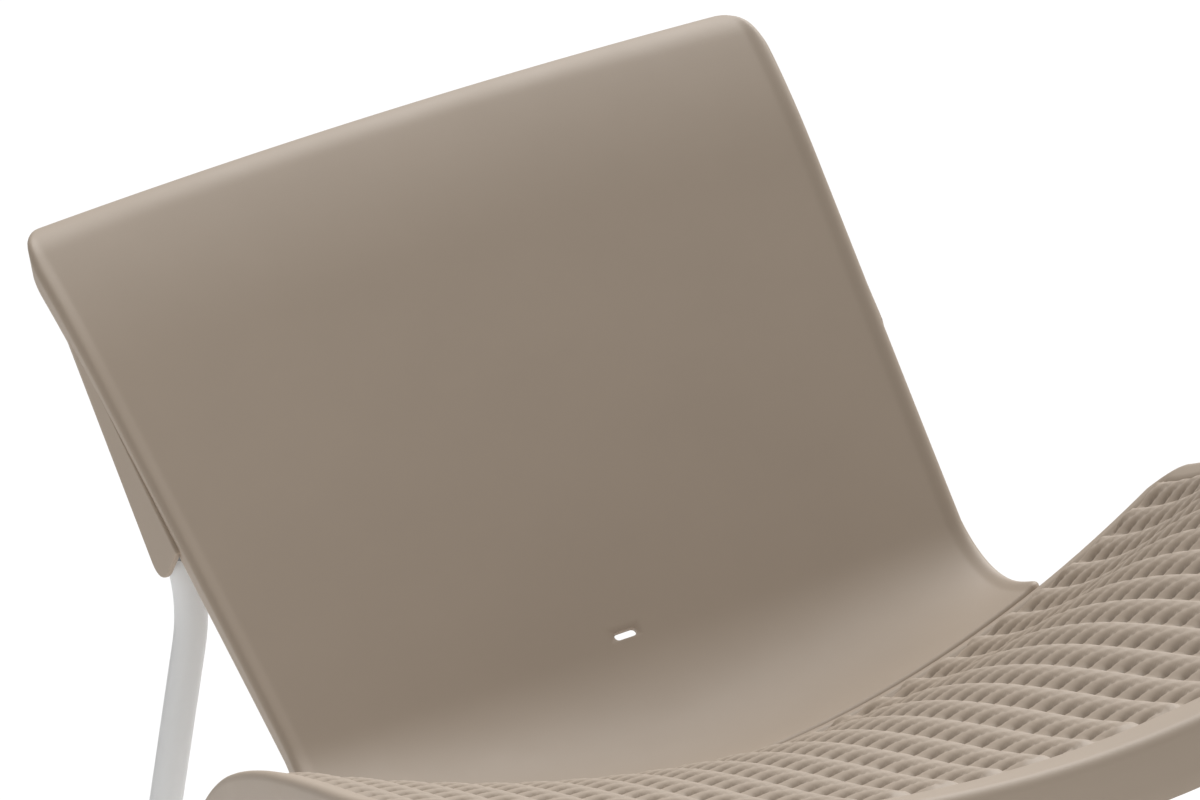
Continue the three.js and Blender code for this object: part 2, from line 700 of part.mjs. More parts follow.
const cheekInner = cheekFace(PIVOT_HEIGHT) - cheekWidth;
const pivotX = cheekFace(PIVOT_HEIGHT) - cheekWidth / 2;
const pivotAt = onPanel(0, PIVOT_HEIGHT, pivotOut);
const pinTip = cheekFace(PIVOT_HEIGHT) - CHEEK_WALL + PIVOT_BITE;

function addBackrest() {
  const pieces = [];
  const tools = [];
  for (const sign of Object.values(SIDES)) {
    pieces.push(cheekSlab(cheekOutline(), sign, 0, cheekWidth));
    tools.push(cheekSlab(grooveOutline(), sign, CHEEK_WALL, groove));
    tools.push(axle(sign, cheekInner - TUBE, pinTip + FIT, PIN + 2 * FIT, pivotAt));
    const padTop = backDish(padX, lipLength) - SHELL / 2;
    const pad = [armFace + FIT, padTop];
    pieces.push(panelBlock(sign * padX, FLANGE - 2, flangeFrom, flangeLength, ...pad));
    for (const up of Object.values(FLANGE_SCREWS)) {
      tools.push(flangeRod(sign, up, armFace - 1, armFace + SCREW_BITE + 1, SCREW + 2 * FIT));
    }
  }
  const end = (SLOT_LENGTH - SLOT_WIDTH) / 2;
  const slot = new THREE.Shape();
  slot.absarc(end, SLOT_HEIGHT, SLOT_WIDTH / 2, -Math.PI / 2, Math.PI / 2);
  slot.absarc(-end, SLOT_HEIGHT, SLOT_WIDTH / 2, Math.PI / 2, 1.5 * Math.PI);
  const drill = new THREE.ExtrudeGeometry(slot, {
    depth: 4 * SHELL,
    bevelEnabled: false,
    curveSegments: 6,
  });
  tools.push(raised(drill.translate(0, 0, -2 * SHELL)));
  add("backrest_shell", cutBy(joined(backSheet, ...pieces), ...tools), mouldedPlastic());
}

function addPivotPin(side, sign) {
  const face = cheekInner - FIT;
  const pin = joined(
    axle(sign, face - PIN_HEAD_HEIGHT, face, PIN_HEAD, pivotAt),
    axle(sign, face - 1, pinTip, PIN, pivotAt),
  );
  add(`pivot_pin_${side}`, pin, steel());
}

// ---- Rear legs ------------------------------------------------------------------------

const rearDown = point(0, Math.sin(radians(REAR_LEG_TILT)), -Math.cos(radians(REAR_LEG_TILT)));
const rearReach = pivotAt.z / Math.cos(radians(REAR_LEG_TILT)); // pivot to ground

// A point on a rear leg's centre line: straight at the pivot, then bent outwards.
function rearPoint(sign, reach) {
  const bent = THREE.MathUtils.clamp(reach - BEND_START, 0, BEND_LENGTH);
  const past = Math.max(reach - BEND_START - BEND_LENGTH, 0);
  const share = bent ** 2 / (2 * BEND_LENGTH) + past;
  const outward = pivotX + Math.tan(radians(REAR_LEG_SPLAY)) * share;
  return stepped(point(sign * outward, pivotAt.y, pivotAt.z), rearDown, reach);
}

// Curve of a rear leg's tube, from its bush to its foot cap.
class RearLegCurve extends THREE.Curve {
  constructor(sign, end) {
    super();
    this.sign = sign;
    this.end = end;
  }

  getPoint(t, target = new THREE.Vector3()) {
    return target.copy(rearPoint(this.sign, mix(BUSH_REACH, this.end, t)));
  }
}

function rearFoot(sign) {
  const foot = rearPoint(sign, rearReach);
  const up = rearPoint(sign, rearReach / 2).sub(foot).normalize();
  return { foot, up };
}

function addRearLeg(side, sign) {
  const { foot, up } = rearFoot(sign);
  const end = rearReach - (CAP_FLOOR + FIT) * (-rearDown.z / up.z);
  const curve = new RearLegCurve(sign, end);
  add(`rear_leg_${side}`, sweep(curve, SLIM_TUBE, REAR_LEG_STEPS, TUBE_WALL), paleTube());
  add(`foot_cap_rear_${side}`, footCap(foot, up, SLIM_TUBE), greyPlastic());

  const half = SLIM_TUBE / 2;
  const eye = axle(sign, pivotX - half, pivotX + half, SLIM_TUBE, pivotAt, 16);
  const middle = point(sign * pivotX, pivotAt.y, pivotAt.z);
  const stemWidth = SLIM_TUBE - 2 * TUBE_WALL - 2 * PLUG_SLACK;
  const stem = rod(middle, stepped(middle, rearDown, BUSH_REACH + BUSH_STEM), stemWidth);
  const neck = rod(middle, stepped(middle, rearDown, BUSH_REACH - FIT), SLIM_TUBE);
  const hole = axle(sign, 0, 2 * pivotX, PIN + 2 * FIT, pivotAt);
  add(`leg_bush_${side}`, cutBy(joined(eye, neck, stem), hole), greyPlastic());
}

function addRearBar() {
  const reach = ((pivotAt.z - REAR_BAR_HEIGHT) / pivotAt.z) * rearReach;
  const [left, right] = Object.values(SIDES).map((sign) => rearPoint(sign, reach));
  const copes = Object.values(SIDES).map((sign) => {
    const { foot, up } = rearFoot(sign);
    return rod(foot, stepped(foot, up, 2 * REAR_BAR_HEIGHT), SLIM_TUBE + 2 * FIT);
  });
  add("rear_cross_bar", cutBy(straightTube(left, right, SLIM_TUBE), ...copes), paleTube());
}

// ---- The whole lounger ----------------------------------------------------------------

addSeat();
addBackrest();
for (const [side, sign] of Object.entries(SIDES)) {
  addRail(side, sign);
  addLeg(side, sign, "front");
  addLeg(side, sign, "hip");
  addHinge(side, sign);
  addHingeArm(side, sign);
  addPivotPin(side, sign);
  addRearLeg(side, sign);
}
addCrossTube("front");
addCrossTube("hip");
addRearBar();

// It stands on the ground with its outer box centred on the origin.
const bounds = new THREE.Box3().setFromObject(lounger);
const centre = bounds.getCenter(new THREE.Vector3());
lounger.position.set(0, -centre.y, -bounds.min.z);

export default lounger;
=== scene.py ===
"""Looks of a reclining sun lounger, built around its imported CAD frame."""

import json
import math

import bmesh
import bpy
from mathutils import Matrix, Vector


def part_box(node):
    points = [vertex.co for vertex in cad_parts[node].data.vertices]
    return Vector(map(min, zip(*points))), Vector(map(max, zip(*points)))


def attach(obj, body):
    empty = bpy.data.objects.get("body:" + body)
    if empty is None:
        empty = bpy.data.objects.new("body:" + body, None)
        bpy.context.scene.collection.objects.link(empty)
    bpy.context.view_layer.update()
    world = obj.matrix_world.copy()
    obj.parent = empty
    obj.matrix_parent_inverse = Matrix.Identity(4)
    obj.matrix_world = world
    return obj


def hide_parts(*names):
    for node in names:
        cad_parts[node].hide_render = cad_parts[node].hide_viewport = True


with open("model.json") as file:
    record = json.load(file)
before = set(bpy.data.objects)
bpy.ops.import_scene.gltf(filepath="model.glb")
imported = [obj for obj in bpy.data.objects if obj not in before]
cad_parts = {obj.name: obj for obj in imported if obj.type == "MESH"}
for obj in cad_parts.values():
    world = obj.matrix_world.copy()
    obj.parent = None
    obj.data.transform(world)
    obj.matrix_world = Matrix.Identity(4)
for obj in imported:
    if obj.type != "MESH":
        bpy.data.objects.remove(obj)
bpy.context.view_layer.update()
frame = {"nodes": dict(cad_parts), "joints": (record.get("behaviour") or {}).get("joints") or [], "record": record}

bl_info = {
    "name": "Sun Lounger Looks",
    "version": (1, 0, 0),
    "blender": (4, 5, 0),
    "location": "View3D > Sidebar > Lounger",
    "description": "Makes the moulded seat, backrest, tubes and finishes of a sun lounger",
    "category": "Object",
}

MM = 0.001

# Bodies and slots of the frame
SEAT_BODY = "seat_frame"
BACK_BODY = "backrest"
LEG_BODY = "rear_legs"
TAUPE_SLOT = "moulded_taupe_plastic"
TUBE_SLOT = "pale_coated_tube"
GREY_SLOT = "grey_plastic"
STEEL_SLOT = "zinc_plated_steel"

# The hip hinge's axis places both mouldings.
AXIS_DROP = 32 * MM
HIP_GAP = 8 * MM
HINGE = Vector(next(j for j in frame["joints"] if j["name"] == "back_recline")["pos_m"])
PIVOT = Vector(next(j for j in frame["joints"] if j["name"] == "rear_leg_swing")["pos_m"])

# Side profiles: stretches of (length in mm, turn in degrees), and the slope at the hip
HIP_SLOPE = math.radians(-2)
BACK_ANGLE = math.radians(58)
SEAT_STRETCHES = ((200, 4.5), (150, -1.5), (150, -5), (120, -8), (238, 14.3))
LIP_RADIUS = 170 * MM
PANEL_LENGTH = 451 * MM
LEAN_LENGTH = 120 * MM
LEAN_TURN = math.radians(14)
LEAN_GAIN = 17 * MM
ROLL_LENGTH = 92.3 * MM
ROLL_TURN = math.radians(101)

# Seat
SEAT_HALF = 381 * MM
SEAT_DISH = 100 * MM
DISH_POWER = 1.95
SEAT_CORNER = 45 * MM
SEAT_SKIRT = 36 * MM
HIP_SKIRT = 12 * MM

# Backrest
BACK_HALF = 264 * MM
BACK_TAPER = 0.0726
BACK_DISH = 12 * MM
LIP_DISH = 49 * MM
BACK_CROWN = 22 * MM
BACK_CORNER = 112 * MM
LIP_CORNER = 12 * MM
BACK_SKIRT = 22 * MM

# Cheeks that carry the rear legs
CHEEK_TOP = 400 * MM
CHEEK_LOW = 178 * MM
CHEEK_DEPTH = 60 * MM
CHEEK_SET_BACK = 12 * MM
CHEEK_FLARE = 10 * MM
CHEEK_LEAN = 0.24
LEAN_AXIS = 26 * MM
CHEEK_WIDTH = 37 * MM
CHEEK_ROUND = 20 * MM

EDGE_ROUND = 8 * MM
BACK_EDGE = 5 * MM
WALL = 5 * MM
CHEEK_WALL = 4.5 * MM
WEAVE_WALL = 1 * MM

# Tubes
TUBE = 28 * MM
SLIM_TUBE = 25 * MM
RAIL_SPREAD = 208 * MM
RAIL_DROP = 31 * MM
RAIL_FOOT_MARGIN = 45 * MM
RAIL_HIP_MARGIN = 62 * MM
LEG_TILT = math.radians(31)
LEG_SPLAY = math.radians(17)
LEG_BEND_START = 42 * MM
LEG_BEND = 60 * MM
LEG_TOP = 15 * MM
LEG_SOLE = 9.5 * MM
PIVOT_HEIGHT = 205 * MM


# ---- Side profiles ----------------------------------------------------------------------


class Chain:
    """Arcs laid end to end in the YZ plane."""

    def __init__(self, slope, stretches):
        self.start = (0.0, 0.0, slope)
        self.stretches = stretches
        self.length = sum(length for length, _ in stretches)

    def anchored(self, distance, y, z):
        here_y, here_z, _ = self.at(distance)
        self.start = (self.start[0] + y - here_y, self.start[1] + z - here_z, self.start[2])
        return self

    def at(self, distance):
        """Y, Z and slope at a distance along the chain; past its ends it runs on straight."""
        y, z, slope = self.start
        left = distance
        for i, (length, turn) in enumerate(self.stretches):
            last = i == len(self.stretches) - 1
            run = left if left < 0 else min(left, length)
            bend = turn * run / length if run > 0 else 0
            chord = run if abs(bend) < 1e-9 else 2 * run * math.sin(bend / 2) / bend
            y += chord * math.cos(slope + bend / 2)
            z += chord * math.sin(slope + bend / 2)
            slope += bend
            left -= run
            if last and left > 0:
                y += left * math.cos(slope)
                z += left * math.sin(slope)
            if left <= 0:
                break
        return y, z, slope

    def off(self, distance, x, rise):
        """A point beside the chain and above it, along its upward normal."""
        y, z, slope = self.at(distance)
        return Vector((x, y - rise * math.sin(slope), z + rise * math.cos(slope)))


def smooth(t):
    t = min(max(t, 0), 1)
    return t * t * (3 - 2 * t)


def mix(a, b, t):
    return a + (b - a) * t


SEAT_PIECES = [(length * MM, math.radians(turn)) for length, turn in SEAT_STRETCHES]
SEAT = Chain(HIP_SLOPE - sum(turn for _, turn in SEAT_PIECES), SEAT_PIECES)
SEAT.anchored(SEAT.length, HINGE.y - HIP_GAP / 2, HINGE.z + AXIS_DROP)

LIP_TURN = BACK_ANGLE - HIP_SLOPE
LIP_LENGTH = LIP_RADIUS * LIP_TURN
STRAIGHT = PANEL_LENGTH + LEAN_GAIN - LEAN_LENGTH
BACK_PIECES = [
    (LIP_LENGTH, LIP_TURN),
    (STRAIGHT, 0),
    (LEAN_LENGTH, -LEAN_TURN),
    (ROLL_LENGTH, -ROLL_TURN),
]
BACK = Chain(HIP_SLOPE, BACK_PIECES)
BACK.anchored(0, HINGE.y + HIP_GAP / 2, HINGE.z + AXIS_DROP)
PANEL_TOP = LIP_LENGTH + PANEL_LENGTH


def seat_dish(x):
    return SEAT_DISH * (abs(x) / SEAT_HALF) ** DISH_POWER


def seat_skirt(s):
    return mix(HIP_SKIRT, SEAT_SKIRT, smooth((SEAT.length - s) / (160 * MM)))


def seat_point(x, s, rise=0.0):
    return SEAT.off(s, x, seat_dish(x) + rise)


def back_half(s):
    return BACK_HALF + BACK_TAPER * max(s - LIP_LENGTH, 0)


def back_skirt(s):
    return mix(HIP_SKIRT, BACK_SKIRT, smooth(s / LIP_LENGTH))


def back_point(x, s, rise=0.0):
    share = smooth(s / LIP_LENGTH)
    across = abs(x) / back_half(s)
    dish = mix(LIP_DISH, BACK_DISH, share) * across ** mix(DISH_POWER, 2, share)
    fall = BACK_CROWN * smooth((s - LIP_LENGTH) / PANEL_LENGTH) * across**2
    down_panel = Vector((0, -math.cos(BACK_ANGLE), -math.sin(BACK_ANGLE)))
    return BACK.off(s, x, dish + rise) + down_panel * fall


def panel_point(x, up, out):
    """A point in the panel's own plane: up it from the lip, and out of its face."""
    return BACK.off(LIP_LENGTH, x, out) + Vector(
        (0, math.cos(BACK_ANGLE) * up, math.sin(BACK_ANGLE) * up)
    )


# ---- Mesh helpers -----------------------------------------------------------------------


def piece_from(bm, name, body, material, nodes=(), smooth_faces=True):
    """Turns a bmesh into a piece that rides on a body."""
    for face in bm.faces:
        face.smooth = smooth_faces
    mesh = bpy.data.meshes.new(name)
    bm.to_mesh(mesh)
    bm.free()
    piece = bpy.data.objects.new(name, mesh)
    bpy.context.scene.collection.objects.link(piece)
    mesh.materials.append(material)
    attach(piece, body)
    if nodes:
        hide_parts(*nodes)
    return piece


def add_wall(piece, thickness, even=True):
    """Gives an open sheet its wall, inwards from its outer face."""
    wall = piece.modifiers.new("Wall", "SOLIDIFY")
    wall.thickness = thickness
    wall.offset = -1
    wall.use_even_offset = even


def soften_edges(piece, width):
    """Rounds a piece's sharp edges a little."""
    soften = piece.modifiers.new("Rim", "BEVEL")
    soften.width = width
    soften.segments = 2
    soften.limit_method = "ANGLE"
    soften.angle_limit = math.radians(50)


def apply_modifiers(piece):
    """Replaces a piece's mesh by its finished one."""
    bpy.context.view_layer.update()
    made = piece.evaluated_get(bpy.context.evaluated_depsgraph_get())
    mesh = bpy.data.meshes.new_from_object(made)
    piece.modifiers.clear()
    piece.data = mesh


def spread(stops):
    """Stations between pairs of (distance, step up to it), in millimetres."""
    stations = [stops[0][0]]
    for distance, step in stops[1:]:
        start = stations[-1]
        count = max(1, round((distance - start) / step))
        stations += [start + (distance - start) * (i + 1) / count for i in range(count)]
    return [s * MM for s in stations]


def moulded_sheet(bm, across, along, half_width, corners, length, surface, skirt, edge):
    """A dished sheet with a rolled edge and a skirt.

    across: distances in from the side edge, up to the middle; along: distances from the
    first end. corners: plan radii at both ends. surface(x, s, rise) places a point.
    """
    shares = [1 - (d - across[0]) / (across[-1] - across[0]) for d in across]
    columns = [-share for share in shares] + shares[-2::-1]
    grid = bmesh.ops.create_grid(
        bm, x_segments=len(columns) - 1, y_segments=len(along) - 1, size=1
    )
    plan = {}
    for vert in grid["verts"]:
        share = columns[round((vert.co.x + 1) / 2 * (len(columns) - 1))]
        s = along[round((vert.co.y + 1) / 2 * (len(along) - 1))]
        half = half_width(s)
        for radius, gap in ((corners[0], s), (corners[1], length - s)):
            if gap < radius:
                half -= radius - math.sqrt(radius**2 - (radius - gap) ** 2)
        plan[vert] = (share * (half - edge), s)
    for vert, (x, s) in plan.items():
        vert.co = surface(x, s, 0)
    roll_edge(bm, plan, half_width, corners, length, surface, skirt, edge)


def outward(x, s, half, corners, length, edge):
    """Unit direction out of the sheet's outline, in plan."""
    for radius, gap, way in ((corners[0], s, -1), (corners[1], length - s, 1)):
        beside = abs(x) - (half - radius)
        if gap < radius and beside > 0:
            reach = math.hypot(beside, radius - gap)
            return math.copysign(beside / reach, x), way * (radius - gap) / reach
        if gap < edge + 0.01 * MM:
            return 0.0, way
    return math.copysign(1, x), 0.0


def roll_edge(bm, plan, half_width, corners, length, surface, skirt, edge):
    """Extrudes a sheet's outline round its edge and down its skirt."""
    rim = [vert for vert in bm.verts if vert.is_boundary]
    base = {}
    for vert in rim:
        x, s = plan[vert]
        base[vert] = (x, s, *outward(x, s, half_width(s), corners, length, edge))
    quarters = [math.radians(18 * i) for i in range(1, 6)]
    steps = [(math.sin(a), 1 - math.cos(a), 0) for a in quarters]
    steps += [(1, 1, share) for share in (0.3, 0.65, 1)]
    for reach, drop, share in steps:
        open_edges = [line for line in bm.edges if line.is_boundary]
        made = bmesh.ops.extrude_edge_only(bm, edges=open_edges)["geom"]
        fresh = {vert for vert in made if isinstance(vert, bmesh.types.BMVert)}
        following = {}
        for vert in fresh:
            source = next(
                line.other_vert(vert)
                for line in vert.link_edges
                if line.other_vert(vert) in base
            )
            x, s, out_x, out_s = base[source]
            following[vert] = base[source]
            rise = -edge * drop - max(skirt(s) - edge, 0) * share
            vert.co = surface(x + edge * reach * out_x, s + edge * reach * out_s, rise)
        base = following


def swept_tube(bm, points, diameter, segments=40):
    """A round bar through a list of points, closed at both ends."""
    headings = []
    for i, point in enumerate(points):
        before = points[max(i - 1, 0)]
        after = points[min(i + 1, len(points) - 1)]
        headings.append((after - before).normalized())
    places = [
        Matrix.Translation(point) @ Vector((0, 0, 1)).rotation_difference(way).to_matrix().to_4x4()
        for point, way in zip(points, headings)
    ]
    ring = bmesh.ops.create_circle(
        bm, cap_ends=True, segments=segments, radius=diameter / 2, matrix=places[0]
    )
    verts = ring["verts"]
    for last, place in zip(places, places[1:]):
        held = set(verts)
        edges = [edge for edge in bm.edges if set(edge.verts) <= held]
        edges = [edge for edge in edges if len(edge.link_faces) < 2]
        made = bmesh.ops.extrude_edge_only(bm, edges=edges)["geom"]
        verts = [vert for vert in made if isinstance(vert, bmesh.types.BMVert)]
        bmesh.ops.transform(bm, matrix=place @ last.inverted(), verts=verts)
    bmesh.ops.holes_fill(bm, edges=[edge for edge in bm.edges if edge.is_boundary])
    bmesh.ops.recalc_face_normals(bm, faces=bm.faces)
    for edge in bm.edges:
        edge.smooth = edge.calc_face_angle(0) < math.radians(40)


# ---- Materials --------------------------------------------------------------------------


def linear(hex_colour):
    """An sRGB hex colour as linear red, green, blue and alpha."""
    channels = [int(hex_colour[i : i + 2], 16) / 255 for i in (1, 3, 5)]
    return (*[c / 12.92 if c <= 0.04045 else ((c + 0.055) / 1.055) ** 2.4 for c in channels], 1)


def add_node(tree, kind, settings=None, inputs=None):
    """Adds a node, and sets or links its inputs."""
    node = tree.nodes.new(kind)
    for name, value in (settings or {}).items():
        setattr(node, name, value)
    for socket, value in (inputs or {}).items():
        if isinstance(value, bpy.types.NodeSocket):
            tree.links.new(value, node.inputs[socket])
        else:
            node.inputs[socket].default_value = value
    return node


def new_material(name):
    material = bpy.data.materials.new(name)
    material.use_nodes = True
    tree = material.node_tree
    shader = tree.nodes["Principled BSDF"]
    place = add_node(tree, "ShaderNodeTexCoord").outputs["Object"]
    return material, tree, shader, place


def mottled(tree, place, size, first, second, low=0.35, high=0.65):
    """Two colours in soft patches of a real size."""
    noise = add_node(
        tree,
        "ShaderNodeTexNoise",
        inputs={"Vector": place, "Scale": 1 / size, "Detail": 4.0, "Roughness": 0.55},
    )
    ramp = add_node(tree, "ShaderNodeValToRGB", inputs={"Fac": noise.outputs["Fac"]})
    ramp.color_ramp.elements[0].position = low
    ramp.color_ramp.elements[1].position = high
    ramp.color_ramp.elements[0].color = first
    ramp.color_ramp.elements[1].color = second
    return ramp.outputs["Color"]


def grained(tree, place, size, depth, strength, base=None):
    """A fine moulded or sprayed grain of a real size and depth."""
    noise = add_node(
        tree,
        "ShaderNodeTexNoise",
        inputs={"Vector": place, "Scale": 1 / size, "Detail": 3.0, "Roughness": 0.6},
    )
    inputs = {"Height": noise.outputs["Fac"], "Distance": depth, "Strength": strength}
    if base:
        inputs["Normal"] = base
    return add_node(tree, "ShaderNodeBump", inputs=inputs).outputs["Normal"]


def moulded_polypropylene(settings):
    """Glass-filled polypropylene, injection moulded in a spark-eroded tool.

    The tool leaves a fine even grain, so the plastic is matt with a wide soft sheen.
    """
    material, tree, shader, place = new_material("moulded polypropylene")
    first = (*settings.plastic_colour, 1)
    second = (*[c * 1.025 for c in settings.plastic_colour], 1)
    colour = mottled(tree, place, 90 * MM, first, second)
    rough = add_node(
        tree,
        "ShaderNodeTexNoise",
        inputs={"Vector": place, "Scale": 1 / (40 * MM), "Detail": 3.0},
    )
    spread_rough = add_node(
        tree,
        "ShaderNodeMapRange",
        inputs={"Value": rough.outputs["Fac"], "To Min": 0.5, "To Max": 0.6},
    )
    # The weave's hollows are shallow, so painted shade darkens their colour as well.
    painted_hollow_shade = add_node(tree, "ShaderNodeAttribute", {"attribute_name": "painted_hollow_shade"})
    painted_shade_colour = add_node(
        tree,
        "ShaderNodeMix",
        {"data_type": "RGBA"},
        {0: painted_hollow_shade.outputs["Fac"], 6: colour, 7: tuple(c * 0.5 for c in first[:3]) + (1,)},
    )
    tree.links.new(painted_shade_colour.outputs[2], shader.inputs["Base Color"])
    tree.links.new(spread_rough.outputs["Result"], shader.inputs["Roughness"])
    shader.inputs["IOR"].default_value = 1.49
    flow = grained(tree, place, 25 * MM, 0.2 * MM, 0.12)
    # The real grain is about 0.2 mm; it is drawn at 1.2 mm so that it shows.
    tree.links.new(
        grained(tree, place, 1.2 * MM, 0.06 * MM, 0.35, flow), shader.inputs["Normal"]
    )
    return material


def powder_coat(settings):
    """Pale polyester powder coat on steel tube: satin, with a faint orange peel."""
    material, tree, shader, place = new_material("powder coat")
    first = (*settings.tube_colour, 1)
    second = (*[c * 0.96 for c in settings.tube_colour], 1)
    tree.links.new(mottled(tree, place, 120 * MM, first, second), shader.inputs["Base Color"])
    shader.inputs["Roughness"].default_value = 0.38
    shader.inputs["IOR"].default_value = 1.5
    tree.links.new(grained(tree, place, 2.5 * MM, 0.05 * MM, 0.25), shader.inputs["Normal"])
    return material


def moulded_nylon(settings):
    """Grey moulded nylon of caps, clamps and bushes: matt, a little chalky from the sun."""
    material, tree, shader, place = new_material("moulded nylon")
    first = (*settings.cap_colour, 1)
    second = (*[min(c * 1.18, 1) for c in settings.cap_colour], 1)
    tree.links.new(mottled(tree, place, 14 * MM, first, second), shader.inputs["Base Color"])
    shader.inputs["Roughness"].default_value = 0.62
    shader.inputs["IOR"].default_value = 1.53
    tree.links.new(grained(tree, place, 0.8 * MM, 0.05 * MM, 0.4), shader.inputs["Normal"])
    return material


def zinc_plate(settings):
    """Bright zinc on pressed steel: a metal with cloudy, slightly scuffed patches."""
    material, tree, shader, place = new_material("zinc plate")
    first = linear("#a9abad")
    second = linear("#c9cbcd")
    tree.links.new(mottled(tree, place, 6 * MM, first, second), shader.inputs["Base Color"])
    shader.inputs["Metallic"].default_value = 1.0
    rough = add_node(
        tree,
        "ShaderNodeTexNoise",
        inputs={"Vector": place, "Scale": 1 / (3 * MM), "Detail": 4.0},
    )
    spread_rough = add_node(
        tree,
        "ShaderNodeMapRange",
        inputs={"Value": rough.outputs["Fac"], "To Min": 0.28, "To Max": 0.45},
    )
    tree.links.new(spread_rough.outputs["Result"], shader.inputs["Roughness"])
    tree.links.new(grained(tree, place, 0.7 * MM, 0.02 * MM, 0.3), shader.inputs["Normal"])
    return material


MAKERS = {
    TAUPE_SLOT: moulded_polypropylene,
    TUBE_SLOT: powder_coat,
    GREY_SLOT: moulded_nylon,
    STEEL_SLOT: zinc_plate,
}
made_materials = {}


def material_for(slot):
    if slot not in made_materials:
        made_materials[slot] = MAKERS[slot](bpy.context.scene.lounger_finish)
    return made_materials[slot]


# ---- Settings ---------------------------------------------------------------------------


class WeaveSettings(bpy.types.PropertyGroup):
    """Sizes of the moulded rope weave on the seat."""

    row_pitch: bpy.props.FloatProperty(
        name="Row pitch",
        description="Distance between rows, across the seat",
        default=27 * MM,
        unit="LENGTH",
    )
    strand_pitch: bpy.props.FloatProperty(
        name="Strand pitch",
        description="Distance between strands, along a row",
        default=32 * MM,
        unit="LENGTH",
    )
    rows: bpy.props.IntProperty(name="Rows", description="Number of rows", default=27)
    ridge: bpy.props.FloatProperty(
        name="Ridge",
        description="Height of a row over the valleys beside it",
        default=5 * MM,
        unit="LENGTH",
    )
    groove: bpy.props.FloatProperty(
        name="Groove",
        description="Depth of the grooves between strands",
        default=4 * MM,
        unit="LENGTH",
    )
    sweep: bpy.props.FloatProperty(
        name="Sweep",
        description="How far a strand runs towards the foot end, in strand pitches",
        default=1.9,
    )
    dimple: bpy.props.FloatProperty(
        name="Dimple",
        description="Depth of the dimple where a groove starts",
        default=4.6 * MM,
        unit="LENGTH",
    )
    dimple_size: bpy.props.FloatProperty(
        name="Dimple size",
        description="Reach of a dimple from its middle",
        default=4.4 * MM,
        unit="LENGTH",
    )
    foot_border: bpy.props.FloatProperty(
        name="Foot border",
        description="Smooth border along the foot rim",
        default=60 * MM,
        unit="LENGTH",
    )
    hip_border: bpy.props.FloatProperty(
        name="Hip border",
        description="Smooth border along the seat's rear edge",
        default=16 * MM,
        unit="LENGTH",
    )


class PanelSettings(bpy.types.PropertyGroup):
    """Sizes of the backrest's details."""

    bead: bpy.props.FloatProperty(
        name="Bead",
        description="Height of the bead along the side edges",
        default=1.2 * MM,
        unit="LENGTH",
    )
    bead_width: bpy.props.FloatProperty(
        name="Bead width", description="Width of that bead", default=9 * MM, unit="LENGTH"
    )
    slot_length: bpy.props.FloatProperty(
        name="Slot length", description="Drain slot, end to end", default=17 * MM, unit="LENGTH"
    )
    slot_width: bpy.props.FloatProperty(
        name="Slot width", description="Drain slot, across", default=7 * MM, unit="LENGTH"
    )
    slot_height: bpy.props.FloatProperty(
        name="Slot height", description="Slot's distance up the panel", default=5 * MM, unit="LENGTH"
    )


class FinishSettings(bpy.types.PropertyGroup):
    """Colours of the finishes."""

    plastic_colour: bpy.props.FloatVectorProperty(
        name="Plastic",
        description="Colour of the seat and backrest",
        subtype="COLOR",
        default=linear("#ae9e8d")[:3],
    )
    tube_colour: bpy.props.FloatVectorProperty(
        name="Tubes",
        description="Colour of the coated tubes",
        subtype="COLOR",
        default=linear("#e3e3e2")[:3],
    )
    cap_colour: bpy.props.FloatVectorProperty(
        name="Caps",
        description="Colour of the caps, clamps and bushes",
        subtype="COLOR",
        default=linear("#8b8d8f")[:3],
    )


class StageSettings(bpy.types.PropertyGroup):
    """Camera and light."""

    lens: bpy.props.FloatProperty(
        name="Lens", description="Focal length in millimetres", default=156.6
    )
    azimuth: bpy.props.FloatProperty(
        name="Azimuth",
        description="Camera's heading, from +Y towards +X",
        default=math.radians(13.76),
        subtype="ANGLE",
    )
    pitch: bpy.props.FloatProperty(
        name="Pitch",
        description="How far the camera looks down",
        default=math.radians(6.23),
        subtype="ANGLE",
    )
    roll: bpy.props.FloatProperty(
        name="Roll",
        description="How far the camera leans",
        default=math.radians(16.8),
        subtype="ANGLE",
    )
    ambient: bpy.props.FloatProperty(
        name="Ambient", description="Strength of the white surround", default=0.34
    )
    key: bpy.props.FloatProperty(
        name="Key", description="Strength of the broad light above", default=3.0
    )
    fill: bpy.props.FloatProperty(
        name="Fill", description="Power of the softbox at the left", default=6.0, unit="POWER"
    )


# ---- Seat -------------------------------------------------------------------------------


def weave_box(weave):
    """Half width, first and last distance along the seat of the woven field."""
    return (
        weave.rows * weave.row_pitch / 2,
        weave.foot_border,
        SEAT.length - weave.hip_border,
    )


def inside_weave(weave, x, s, margin):
    """1 inside the woven field, 0 outside, soft over a margin inside its border."""
    half, first, last = weave_box(weave)
    depth = min(half - abs(x), s - first, last - s)
    return smooth(depth / margin)


def strand_height(weave, x, s):
    """Height of the rope weave over the seat's surface, and the strength of the painted shade for its grooves and
    dimples there.
    """
    half, _, last = weave_box(weave)
    row = (x + half) / weave.row_pitch
    index = min(max(math.floor(row), 0), weave.rows - 1)
    across = min(max(row - index, 0), 1)
    skewed = across**1.7
    ridge = weave.ridge * (4 * skewed * (1 - skewed)) ** 0.8
    run = (last - s) / weave.strand_pitch - weave.sweep * across**2.3 - 0.45 * index
    phase = run - math.floor(run)
    fade = 1 - smooth((across - 0.62) / 0.36)
    crown = math.sin(math.pi * phase**0.85) ** 0.38
    strand = -weave.groove * fade * (1 - crown)
    gap = min(phase, 1 - phase) * weave.strand_pitch
    beside = (across - 0.2) * weave.row_pitch
    far = (gap**2 + beside**2) / weave.dimple_size**2
    dimple = -weave.dimple * math.exp(-far)
    # The second value is painted shade: it grows with the depth of the grooves and dimples.
    return ridge + strand + dimple - 2.2 * MM, smooth(-(strand + dimple) / (6.5 * MM))


